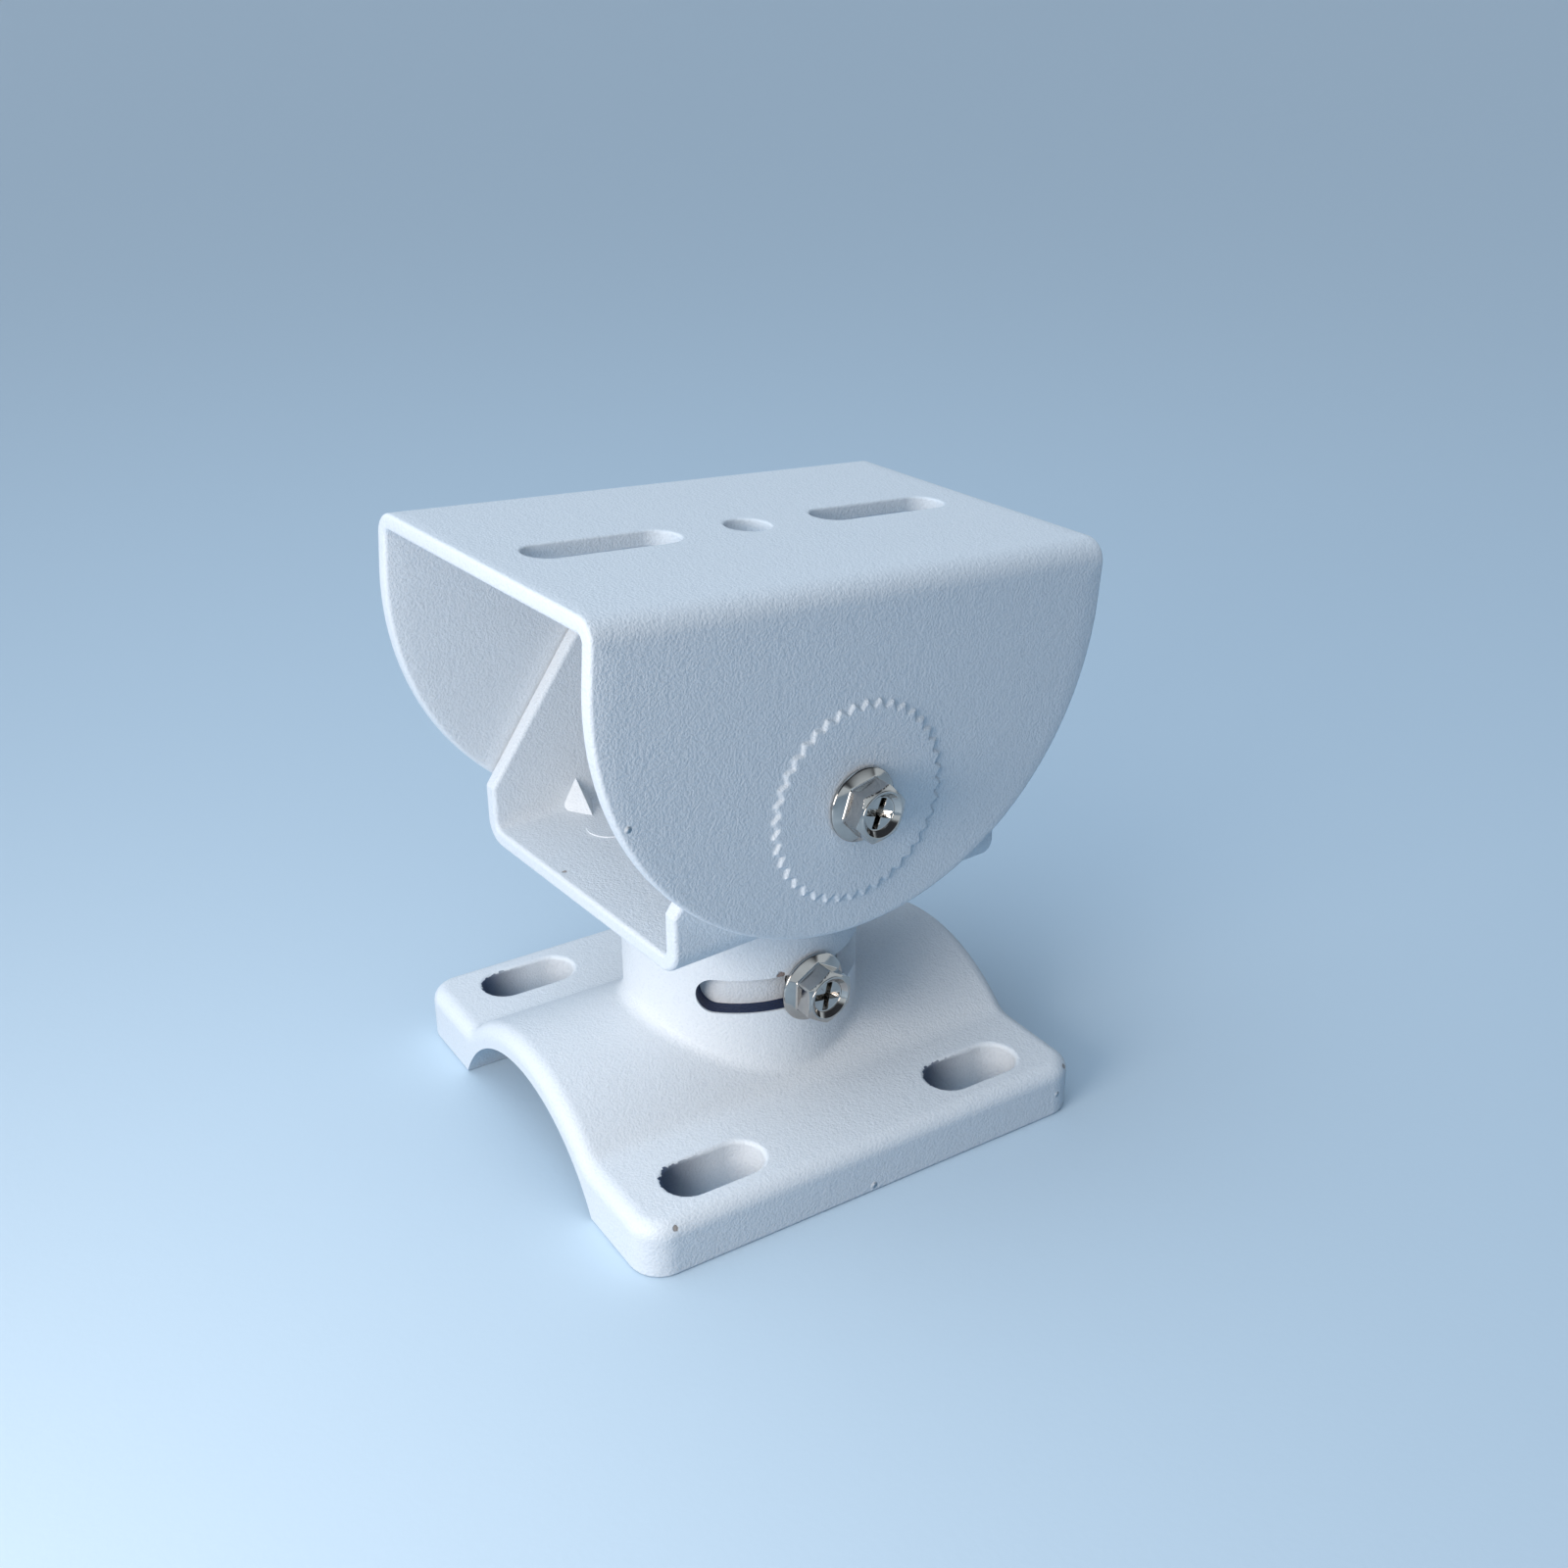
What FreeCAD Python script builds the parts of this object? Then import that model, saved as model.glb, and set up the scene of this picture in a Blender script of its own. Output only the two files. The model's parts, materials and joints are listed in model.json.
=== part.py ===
import FreeCAD, Part
import math
import operator
import os
from types import SimpleNamespace

import Sketcher
from FreeCAD import Placement, Rotation, Vector

# Driving sizes, in millimetres and degrees. The origin is the centre of the standing face of the saddle
# base, +Z points up through the collar, and X runs along the pole that the saddle sits on.
SIZES = {
    # pose in which the bracket is stored: yoke turned about the collar, channel tipped about the pivot
    "pan_angle": 4.16,
    "tilt_angle": 4.33,
    # saddle base, one casting with its collar
    "base_length": 80.0,
    "base_width": 80.0,
    "base_thickness": 9.0,
    "base_corner_radius": 5.0,
    "base_rim_radius": 2.5,
    "base_foot_radius": 0.5,
    "pole_radius": 26.0,
    "arch_rise": 13.8,
    "arch_wall": 4.0,
    "arch_root_radius": 4.0,
    "strap_slot_length": 16.5,
    "strap_slot_width": 8.0,
    "strap_slot_spacing_along": 48.0,
    "strap_slot_spacing_across": 63.4,
    "strap_slot_rim_radius": 0.7,
    "collar_diameter": 38.4,
    "collar_wall": 3.0,
    "collar_height": 41.0,
    "collar_root_radius": 2.0,
    "collar_lip_radius": 0.6,
    "lock_slot_height": 6.0,
    "lock_slot_middle": 25.4,
    "lock_slot_half_sweep": 43.0,
    # running clearances
    "turn_clearance": 0.1,
    "slide_clearance": 0.15,
    "cheek_gap": 0.3,
    "stem_end_gap": 0.5,
    "thread_clearance": 0.05,
    "tooth_clearance": 0.2,
    # yoke, one casting with its hollow stem
    "yoke_length": 60.0,
    "yoke_thickness": 2.7,
    "yoke_bend_radius": 4.0,
    "yoke_shoulder_rise": 9.85,
    "yoke_ear_radius": 18.2,
    "yoke_edge_radius": 0.7,
    "pivot_rise": 20.2,
    "stem_wall": 6.6,
    "gusset_spacing": 30.0,
    "gusset_width": 5.0,
    "gusset_leg": 4.9,
    "gusset_root_leg": 0.7,
    "pad_spacing_along": 29.6,
    "pad_spacing_across": 28.8,
    "pad_diameter": 7.8,
    "pad_height": 0.2,
    # top channel, one folded sheet
    "channel_length": 90.0,
    "channel_width": 60.0,
    "channel_thickness": 2.5,
    "channel_fold_radius": 3.6,
    "channel_edge_radius": 0.6,
    "plate_rise": 33.2,
    "cheek_straight": 8.95,
    "plate_slot_length": 25.0,
    "plate_slot_width": 7.0,
    "plate_slot_spacing": 50.0,
    "plate_hole_diameter": 7.0,
    "plate_rim_radius": 0.4,
    # toothed locking discs, pressed into the cheeks and cast on the ears of the yoke
    "tooth_count": 40,
    "disc_tip_radius": 15.5,
    "tooth_height": 1.4,
    "disc_press": 0.4,
    "disc_entry": 0.2,
    # hexagon flange screws and nuts, thread M5
    "thread_diameter": 5.0,
    "screw_length": 12.0,
    "screw_point": 0.6,
    "screw_flange_diameter": 11.8,
    "screw_flange_rim": 0.8,
    "screw_flange_slope": 0.6,
    "screw_hexagon": 8.0,
    "screw_head_height": 5.0,
    "screw_crown_diameter": 7.3,
    "screw_crown_drop": 0.5,
    "screw_dish_diameter": 6.2,
    "screw_dish_depth": 0.7,
    "recess_span": 4.4,
    "recess_wing": 1.0,
    "recess_depth": 2.2,
    "recess_turn": -36.0,
    "pivot_screw_turn": 17.5,
    "lock_screw_turn": 28.0,
    "nut_flange_diameter": 11.8,
    "nut_flange_rim": 0.9,
    "nut_hexagon": 8.0,
    "nut_height": 5.0,
}


class Size:
    """A number together with the expression on the sheet that keeps it up to date."""

    def __init__(self, number, text):
        self.number = float(number)
        self.text = text

    def __add__(self, other):
        return joined(self, "+", other)

    def __radd__(self, other):
        return joined(other, "+", self)

    def __sub__(self, other):
        return joined(self, "-", other)

    def __rsub__(self, other):
        return joined(other, "-", self)

    def __mul__(self, other):
        return joined(self, "*", other)

    def __rmul__(self, other):
        return joined(other, "*", self)

    def __truediv__(self, other):
        return joined(self, "/", other)

    def __neg__(self):
        return joined(-1, "*", self)


SIGNS = {"+": operator.add, "-": operator.sub, "*": operator.mul, "/": operator.truediv}


def sized(value):
    """A plain number as a Size, and a Size as it is."""
    return value if isinstance(value, Size) else Size(value, repr(float(value)))


def joined(left, sign, right):
    """Two sizes put together with a sign, in number and in text."""
    left = sized(left)
    right = sized(right)
    return Size(SIGNS[sign](left.number, right.number), "(%s %s %s)" % (left.text, sign, right.text))


def root(value):
    """The square root of a size."""
    return Size(math.sqrt(value.number), "sqrt(%s)" % value.text)


def square(value):
    """A size times itself."""
    return value * value


def sine(angle):
    """The sine of an angle in degrees."""
    return Size(math.sin(math.radians(angle.number)), "sin(%s)" % angle.text)


def cosine(angle):
    """The cosine of an angle in degrees."""
    return Size(math.cos(math.radians(angle.number)), "cos(%s)" % angle.text)


document = FreeCAD.newDocument("pole_bracket")
sheet = document.addObject("Spreadsheet::Sheet", "sizes")
for row, (alias, number) in enumerate(SIZES.items(), start=1):
    sheet.set("A%d" % row, str(number))
    sheet.setAlias("A%d" % row, alias)
document.recompute()
size = SimpleNamespace(**{alias: Size(number, "sizes." + alias) for alias, number in SIZES.items()})


def new_body(label):
    """An empty body whose label names its file."""
    body = document.addObject("PartDesign::Body", label)
    body.Label = label
    return body


def plane_of(body, role):
    """One of a body's own origin planes."""
    return next(feature for feature in body.Origin.OriginFeatures if feature.Role == role)


def new_sketch(body, name, role, lift=0, rise=0, turn=0):
    """A sketch on an origin plane, lifted along the plane's normal, raised along its upright axis and
    turned about that axis."""
    sketch = body.newObject("Sketcher::SketchObject", name)
    sketch.AttachmentSupport = [(plane_of(body, role), "")]
    sketch.MapMode = "FlatFace"
    lift = sized(lift)
    rise = sized(rise)
    turn = sized(turn)
    turning = Rotation(Vector(0, 1, 0), turn.number)
    sketch.AttachmentOffset = Placement(Vector(0, rise.number, lift.number), turning)
    sketch.setExpression("AttachmentOffset", "placement(vector(0; %s; %s); rotation(vector(0; 1; 0); %s))"
                         % (rise.text, lift.text, turn.text))
    return sketch


def bind(sketch, kind, references, value):
    """A dimension of a sketch, bound to its expression."""
    value = sized(value)
    index = sketch.addConstraint(Sketcher.Constraint(kind, *references, value.number))
    if "sizes." in value.text:
        sketch.setExpression("Constraints[%d]" % index, value.text)


def draw_circle(sketch, across, up, radius):
    """A circle with its centre and radius dimensioned."""
    across = sized(across)
    up = sized(up)
    centre = Vector(across.number, up.number, 0)
    index = sketch.addGeometry(Part.Circle(centre, Vector(0, 0, 1), radius.number))
    bind(sketch, "DistanceX", (-1, 1, index, 3), across)
    bind(sketch, "DistanceY", (-1, 1, index, 3), up)
    bind(sketch, "Radius", (index,), radius)


def draw_outline(sketch, corners, arcs=None):
    """A closed outline through corners. arcs gives, for the side that leaves a corner, the arc's centre
    and whether it runs counterclockwise (1) or clockwise (-1). An arc's ends fix all of it but the place
    of its centre on the line between them, so one coordinate of the centre is dimensioned."""
    arcs = arcs or {}
    corners = [(sized(across), sized(up)) for across, up in corners]
    points = [Vector(across.number, up.number, 0) for across, up in corners]
    sides = []
    for index, start in enumerate(points):
        end = points[(index + 1) % len(points)]
        if index in arcs:
            centre, way = arcs[index]
            middle = Vector(sized(centre[0]).number, sized(centre[1]).number, 0)
            first, last = (start, end) if way > 0 else (end, start)
            from_angle = math.atan2(first.y - middle.y, first.x - middle.x)
            to_angle = math.atan2(last.y - middle.y, last.x - middle.x)
            circle = Part.Circle(middle, Vector(0, 0, 1), (first - middle).Length)
            side = sketch.addGeometry(Part.ArcOfCircle(circle, from_angle, to_angle))
            if abs(end.y - start.y) > abs(end.x - start.x):
                bind(sketch, "DistanceX", (-1, 1, side, 3), centre[0])
            else:
                bind(sketch, "DistanceY", (-1, 1, side, 3), centre[1])
            sides.append((side, 1, 2) if way > 0 else (side, 2, 1))
        else:
            sides.append((sketch.addGeometry(Part.LineSegment(start, end)), 1, 2))
    for index, (side, start, _) in enumerate(sides):
        before, _, end = sides[index - 1]
        sketch.addConstraint(Sketcher.Constraint("Coincident", before, end, side, start))
        bind(sketch, "DistanceX", (-1, 1, side, start), corners[index][0])
        bind(sketch, "DistanceY", (-1, 1, side, start), corners[index][1])


def draw_box(sketch, across_low, up_low, across_high, up_high):
    """A rectangle between two corners."""
    draw_outline(sketch, [(across_low, up_low), (across_high, up_low), (across_high, up_high),
                          (across_low, up_high)])


def draw_slot(sketch, across, up, length, width):
    """A slot with round ends that runs across, measured from end to end."""
    across = sized(across)
    up = sized(up)
    reach = (length - width) / 2
    half = width / 2
    draw_outline(
        sketch,
        [(across - reach, up - half), (across + reach, up - half), (across + reach, up + half),
         (across - reach, up + half)],
        {1: ((across + reach, up), 1), 3: ((across - reach, up), 1)})


def add_feature(body, kind, name, sketch, **settings):
    """A sketch-based feature. Settings that are sizes are bound to their expressions."""
    feature = body.newObject("PartDesign::" + kind, name)
    feature.Profile = sketch
    for setting, value in settings.items():
        if isinstance(value, Size):
            setattr(feature, setting, value.number)
            feature.setExpression(setting, value.text)
        else:
            setattr(feature, setting, value)
    document.recompute()
    return feature


def round_edges(body, name, radius, wanted):
    """A fillet on each edge of the body that the test wanted picks by its box and shape."""
    before = body.Tip
    picked = ["Edge%d" % number for number, edge in enumerate(before.Shape.Edges, start=1) if wanted(edge)]
    fillet = body.newObject("PartDesign::Fillet", name)
    fillet.Base = (before, picked)
    fillet.Radius = radius.number
    fillet.setExpression("Radius", radius.text)
    document.recompute()
    return fillet


def near(value, target, room=1e-4):
    """Whether two plain lengths are the same."""
    return abs(value - target) < room


def flat_at(edge, direction, place):
    """Whether an edge lies in the plane across a direction (x, y or z) at a place."""
    low = getattr(edge.BoundBox, direction.upper() + "Min")
    high = getattr(edge.BoundBox, direction.upper() + "Max")
    return near(low, place) and near(high, place)


def runs_along(edge, direction):
    """Whether an edge is a straight line along x, y or z."""
    if not isinstance(edge.Curve, Part.Line):
        return False
    return near(abs(getattr(edge.Curve.Direction, direction)), 1)


def place(body, *steps):
    """The body's place: steps of (shift, axis, angle), the outermost first, each bound to the sheet."""
    texts = []
    for shift, axis, angle in steps:
        shift_text = "; ".join(sized(value).text for value in shift)
        axis_text = "; ".join(str(value) for value in axis)
        texts.append("placement(vector(%s); rotation(vector(%s); %s))" % (shift_text, axis_text,
                                                                          sized(angle).text))
    body.setExpression("Placement", " * ".join(texts))
    document.recompute()


ORIGIN = (0, 0, 0)
UP = (0, 0, 1)
ACROSS = (0, 1, 0)
ALONG = (1, 0, 0)

# Heights and radii that several pieces share.
pole_axis_height = size.arch_rise - size.pole_radius
arch_outer_radius = size.pole_radius + size.arch_wall
arch_top = size.arch_rise + size.arch_wall
collar_radius = size.collar_diameter / 2
socket_radius = collar_radius - size.collar_wall
stem_radius = socket_radius - size.turn_clearance
web_underside = size.collar_height + size.slide_clearance
web_top = web_underside + size.yoke_thickness
pivot_height = web_underside + size.pivot_rise
cheek_inside = size.channel_width / 2 - size.channel_thickness
ear_outside = cheek_inside - size.cheek_gap
ear_inside = ear_outside - size.yoke_thickness
thread_radius = size.thread_diameter / 2
threaded_hole_radius = thread_radius + size.thread_clearance
pivot_hole_radius = thread_radius + size.turn_clearance


def make_saddle_base():
    """The cast base: a square foot arched over the pole, with the slotted collar standing on it."""
    body = new_body("saddle_base")
    half_length = size.base_length / 2
    half_width = size.base_width / 2

    foot = new_sketch(body, "foot_outline", "XY_Plane")
    draw_box(foot, -half_length, -half_width, half_length, half_width)
    add_feature(body, "Pad", "foot", foot, Length=size.base_thickness)
    round_edges(body, "foot_corners", size.base_corner_radius, lambda edge: runs_along(edge, "z"))

    # The socket is sunk before the arch is added, so that the arch closes it with an even wall.
    collar = new_sketch(body, "collar_outline", "XY_Plane")
    draw_circle(collar, 0, 0, collar_radius)
    add_feature(body, "Pad", "collar", collar, Length=size.collar_height)
    socket = new_sketch(body, "socket_outline", "XY_Plane", size.collar_height)
    draw_circle(socket, 0, 0, socket_radius)
    add_feature(body, "Pocket", "socket", socket, Length=size.collar_height - size.base_thickness)

    arch = new_sketch(body, "arch_section", "YZ_Plane")
    arch_foot = root(square(arch_outer_radius) - square(pole_axis_height))
    draw_outline(arch, [(-arch_foot, 0), (arch_foot, 0)], {1: ((0, pole_axis_height), 1)})
    add_feature(body, "Pad", "arch", arch, Length=size.base_length, SideType="Symmetric")
    arch_root = root(square(arch_outer_radius) - square(size.base_thickness - pole_axis_height))
    round_edges(body, "arch_roots", size.arch_root_radius,
                lambda edge: runs_along(edge, "x") and flat_at(edge, "z", size.base_thickness.number)
                and near(abs(edge.BoundBox.YMin), arch_root.number))

    pole = new_sketch(body, "pole_section", "YZ_Plane")
    draw_circle(pole, 0, pole_axis_height, size.pole_radius)
    add_feature(body, "Pocket", "pole_seat", pole, Type="ThroughAll", SideType="Symmetric")

    def on_top_rim(edge):
        on_side = flat_at(edge, "y", half_width.number) or flat_at(edge, "y", -half_width.number)
        on_end = flat_at(edge, "x", half_length.number) or flat_at(edge, "x", -half_length.number)
        on_corner = flat_at(edge, "z", size.base_thickness.number) and near(edge.Length, math.pi / 2 *
                                                                             size.base_corner_radius.number)
        high = edge.BoundBox.ZMin > size.base_thickness.number - 1e-4
        return high and (on_side or on_end or on_corner)

    def on_foot_rim(edge):
        outside = max(abs(edge.BoundBox.XMin), abs(edge.BoundBox.XMax)) > half_length.number - 1e-4
        outside = outside or max(abs(edge.BoundBox.YMin), abs(edge.BoundBox.YMax)) > half_width.number - 1e-4
        return flat_at(edge, "z", 0) and outside

    def in_strap_slot(middle):
        along = abs(abs(middle.x) - size.strap_slot_spacing_along.number / 2)
        across = abs(abs(middle.y) - size.strap_slot_spacing_across.number / 2)
        return (along < size.strap_slot_length.number / 2 + 0.1
                and across < size.strap_slot_width.number / 2 + 0.1)

    round_edges(body, "top_rim", size.base_rim_radius, on_top_rim)
    round_edges(body, "foot_rim", size.base_foot_radius, on_foot_rim)
    round_edges(body, "collar_root", size.collar_root_radius,
                lambda edge: edge.BoundBox.ZMax < arch_top.number + 0.01
                and near(edge.BoundBox.XMax, collar_radius.number)
                and near(edge.BoundBox.XMin, -collar_radius.number))
    round_edges(body, "collar_lip", size.collar_lip_radius,
                lambda edge: flat_at(edge, "z", size.collar_height.number))

    # The arc slots in the front and rear of the collar, through which the lock screws reach the stem.
    slot = new_sketch(body, "lock_slot_section", "YZ_Plane")
    slot_low = size.lock_slot_middle - size.lock_slot_height / 2
    slot_high = size.lock_slot_middle + size.lock_slot_height / 2
    draw_box(slot, socket_radius - 1, slot_low, collar_radius + 1, slot_high)
    draw_box(slot, -collar_radius - 1, slot_low, 1 - socket_radius, slot_high)
    add_feature(body, "Groove", "lock_slots", slot, ReferenceAxis=(slot, ["V_Axis"]),
                Angle=2 * size.lock_slot_half_sweep, Midplane=True)
    for side, name in ((-1, "lock_slot_ends_left"), (1, "lock_slot_ends_right")):
        end = new_sketch(body, name + "_outline", "XZ_Plane", turn=side * size.lock_slot_half_sweep)
        draw_circle(end, 0, size.lock_slot_middle, size.lock_slot_height / 2)
        add_feature(body, "Pocket", name, end, Type="ThroughAll", SideType="Symmetric")

    straps = new_sketch(body, "strap_slot_outlines", "XY_Plane")
    for along in (-1, 1):
        for across in (-1, 1):
            draw_slot(straps, along * size.strap_slot_spacing_along / 2,
                      across * size.strap_slot_spacing_across / 2, size.strap_slot_length,
                      size.strap_slot_width)
    add_feature(body, "Pocket", "strap_slots", straps, Type="ThroughAll", SideType="Symmetric")
    round_edges(body, "strap_slot_rims", size.strap_slot_rim_radius,
                lambda edge: flat_at(edge, "z", size.base_thickness.number)
                and in_strap_slot(edge.BoundBox.Center))
    return body


def make_yoke():
    """The cast yoke: a web with two ears, and under it the hollow stem that turns in the collar."""
    body = new_body("yoke")
    half_length = size.yoke_length / 2
    shoulder = size.yoke_shoulder_rise
    pivot = size.pivot_rise

    # The side outline is measured from the underside of the web. From each shoulder a straight edge
    # touches the round ear: the touching point is where the edge is square to the ear's radius.
    drop = pivot - shoulder
    reach = square(half_length) + square(drop)
    along_part = square(size.yoke_ear_radius) / reach
    across_part = size.yoke_ear_radius * root(reach - square(size.yoke_ear_radius)) / reach
    touch_across = half_length * along_part + drop * across_part
    touch_up = half_length * across_part - drop * along_part
    outline = new_sketch(body, "side_outline", "XZ_Plane")
    base = web_underside
    draw_outline(
        outline,
        [(-half_length, base), (half_length, base), (half_length, base + shoulder),
         (touch_across, base + pivot + touch_up), (-touch_across, base + pivot + touch_up),
         (-half_length, base + shoulder)],
        {3: ((0, base + pivot), 1)})
    add_feature(body, "Pad", "blank", outline, Length=2 * ear_outside, SideType="Symmetric")
    hollow = new_sketch(body, "hollow_section", "YZ_Plane")
    draw_box(hollow, -ear_inside, web_top, ear_inside, pivot_height + 2 * size.yoke_ear_radius)
    add_feature(body, "Pocket", "hollow", hollow, Type="ThroughAll", SideType="Symmetric")
    round_edges(body, "outer_bends", size.yoke_bend_radius,
                lambda edge: runs_along(edge, "x") and flat_at(edge, "z", web_underside.number))
    round_edges(body, "inner_bends", size.yoke_bend_radius - size.yoke_thickness,
                lambda edge: runs_along(edge, "x") and flat_at(edge, "z", web_top.number))
    round_edges(body, "soft_edges", size.yoke_edge_radius, lambda edge: not runs_along(edge, "x"))

    stem = new_sketch(body, "stem_outline", "XY_Plane", arch_top + size.stem_end_gap)
    draw_circle(stem, 0, 0, stem_radius)
    stem_height = web_underside - arch_top - size.stem_end_gap
    add_feature(body, "Pad", "stem", stem, Length=stem_height)
    core = new_sketch(body, "stem_core_outline", "XY_Plane", arch_top + size.stem_end_gap)
    draw_circle(core, 0, 0, stem_radius - size.stem_wall)
    add_feature(body, "Pocket", "stem_core", core, Length=stem_height, Reversed=True)

    # Cast gussets stiffen the bends, and low round pads mark the ejector places on the web.
    for side in (-1, 1):
        for way in (-1, 1):
            add_gusset(body, "gusset_%s_%s" % ("right" if side > 0 else "left", "rear" if way > 0 else "front"),
                       side * size.gusset_spacing / 2, way)
    pads = new_sketch(body, "pad_outlines", "XY_Plane", web_top)
    for along in (-1, 1):
        for across in (-1, 1):
            draw_circle(pads, along * size.pad_spacing_along / 2, across * size.pad_spacing_across / 2,
                        size.pad_diameter / 2)
    add_feature(body, "Pad", "pads", pads, Length=size.pad_height)

    add_toothed_discs(body, "ear_disc", pivot_height, ear_outside,
                      size.disc_tip_radius - size.tooth_height - size.tooth_clearance,
                      size.cheek_gap + size.disc_entry, "Pad")
    holes = new_sketch(body, "pivot_hole_outline", "XZ_Plane")
    draw_circle(holes, 0, pivot_height, threaded_hole_radius)
    draw_circle(holes, 0, size.lock_slot_middle, threaded_hole_radius)
    add_feature(body, "Pocket", "screw_holes", holes, Type="ThroughAll", SideType="Symmetric")
    place(body, (ORIGIN, UP, size.pan_angle))
    return body


def add_gusset(body, name, middle, way):
    """A gusset between the web and an ear: a ridge at its middle, whose flanks fall away to the root of
    the bend on both sides. Its three sections are triangles with their right angle in the bend."""
    root_depth = size.yoke_thickness / 2
    sections = []
    for step, leg, place_name in ((-1, size.gusset_root_leg, "near"), (0, size.gusset_leg, "ridge"),
                                  (1, size.gusset_root_leg, "far")):
        section = new_sketch(body, "%s_%s" % (name, place_name), "YZ_Plane",
                             middle + step * size.gusset_width / 2)
        draw_outline(section, [(way * (ear_inside - leg), web_top), (way * ear_inside, web_top + leg),
                               (way * (ear_inside + root_depth), web_top + leg),
                               (way * (ear_inside + root_depth), web_top),
                               (way * ear_inside, web_top - root_depth),
                               (way * (ear_inside - leg), web_top - root_depth)])
        sections.append(section)
    add_feature(body, "AdditiveLoft", name, sections[0], Sections=sections[1:], Ruled=True)


def add_toothed_discs(body, name, height, face, tip_radius, depth, kind):
    """Toothed discs about the pivot on the front and rear of a body, at a distance face from the middle:
    a plain disc to the foot of the teeth, and one tooth repeated round it. Pad raises them outwards and
    Pocket sinks them outwards from within."""
    root_radius = tip_radius - size.tooth_height
    half_pitch = Size(180, "180.0") / size.tooth_count
    for side, place_name in ((-1, "rear"), (1, "front")):
        lift = side * face
        outwards = side > 0
        disc = new_sketch(body, "%s_%s_outline" % (name, place_name), "XZ_Plane", lift, height)
        draw_circle(disc, 0, 0, root_radius)
        reversed_way = not outwards if kind == "Pad" else outwards
        add_feature(body, kind, "%s_%s" % (name, place_name), disc, Length=depth, Reversed=reversed_way)
        tooth = new_sketch(body, "%s_%s_tooth_outline" % (name, place_name), "XZ_Plane", lift, height)
        foot_across = root_radius * sine(half_pitch)
        foot_up = root_radius * cosine(half_pitch)
        inner_up = foot_up - size.tooth_height
        draw_outline(tooth, [(-foot_across, foot_up), (-foot_across, inner_up), (foot_across, inner_up),
                             (foot_across, foot_up), (0, tip_radius)])
        first = add_feature(body, kind, "%s_%s_tooth" % (name, place_name), tooth, Length=depth,
                            Reversed=reversed_way)
        ring = body.newObject("PartDesign::PolarPattern", "%s_%s_teeth" % (name, place_name))
        ring.Originals = [first]
        ring.Axis = (tooth, ["N_Axis"])
        ring.Angle = 360
        ring.Occurrences = int(size.tooth_count.number)
        ring.setExpression("Occurrences", size.tooth_count.text)
        body.Tip = ring
        document.recompute()


def make_top_channel():
    """The top channel: sheet folded into a plate with two round cheeks, drawn about the pivot axis."""
    body = new_body("top_channel")
    half_length = size.channel_length / 2
    half_width = size.channel_width / 2
    top = size.plate_rise
    underside = top - size.channel_thickness
    arc_height = top - size.cheek_straight

    outline = new_sketch(body, "side_outline", "XZ_Plane")
    draw_outline(outline, [(half_length, top), (-half_length, top), (-half_length, arc_height),
                           (0, arc_height - half_length), (half_length, arc_height)],
                 {2: ((0, arc_height), 1), 3: ((0, arc_height), 1)})
    add_feature(body, "Pad", "blank", outline, Length=size.channel_width, SideType="Symmetric")
    hollow = new_sketch(body, "hollow_section", "YZ_Plane")
    draw_box(hollow, -cheek_inside, -2 * size.channel_length, cheek_inside, underside)
    add_feature(body, "Pocket", "hollow", hollow, Type="ThroughAll", SideType="Symmetric")
    round_edges(body, "outer_folds", size.channel_fold_radius,
                lambda edge: runs_along(edge, "x") and flat_at(edge, "z", top.number))
    round_edges(body, "inner_folds", size.channel_fold_radius - size.channel_thickness,
                lambda edge: runs_along(edge, "x") and flat_at(edge, "z", underside.number))
    round_edges(body, "soft_edges", size.channel_edge_radius,
                lambda edge: not runs_along(edge, "x") and not runs_along(edge, "y")
                or near(edge.BoundBox.XMin, edge.BoundBox.XMax) and near(abs(edge.BoundBox.XMax),
                                                                         half_length.number))

    holes = new_sketch(body, "plate_hole_outlines", "XY_Plane", underside)
    draw_circle(holes, 0, 0, size.plate_hole_diameter / 2)
    for side in (-1, 1):
        draw_slot(holes, side * size.plate_slot_spacing / 2, 0, size.plate_slot_length,
                  size.plate_slot_width)
    add_feature(body, "Pocket", "plate_holes", holes, Length=size.channel_thickness, Reversed=True)
    round_edges(body, "plate_rims", size.plate_rim_radius,
                lambda edge: flat_at(edge, "z", top.number) and abs(edge.BoundBox.YMax) < cheek_inside.number
                and abs(edge.BoundBox.XMax) < half_length.number - size.channel_edge_radius.number - 0.1)

    add_toothed_discs(body, "cheek_disc", 0, half_width, size.disc_tip_radius, size.disc_press, "Pad")
    add_toothed_discs(body, "cheek_recess", 0, cheek_inside, size.disc_tip_radius, size.disc_press, "Pocket")
    pivots = new_sketch(body, "pivot_hole_outline", "XZ_Plane")
    draw_circle(pivots, 0, 0, pivot_hole_radius)
    add_feature(body, "Pocket", "pivot_holes", pivots, Type="ThroughAll", SideType="Symmetric")
    place(body, (ORIGIN, UP, size.pan_angle), ((0, 0, pivot_height), ACROSS, size.tilt_angle))
    return body


def draw_hexagon(sketch, across_flats):
    """A hexagon with a corner on the sketch's first axis."""
    corner = across_flats / root(Size(3, "3.0"))
    half = corner / 2
    flat = across_flats / 2
    draw_outline(sketch, [(corner, 0), (half, flat), (-half, flat), (-corner, 0), (-half, -flat),
                          (half, -flat)])


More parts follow.
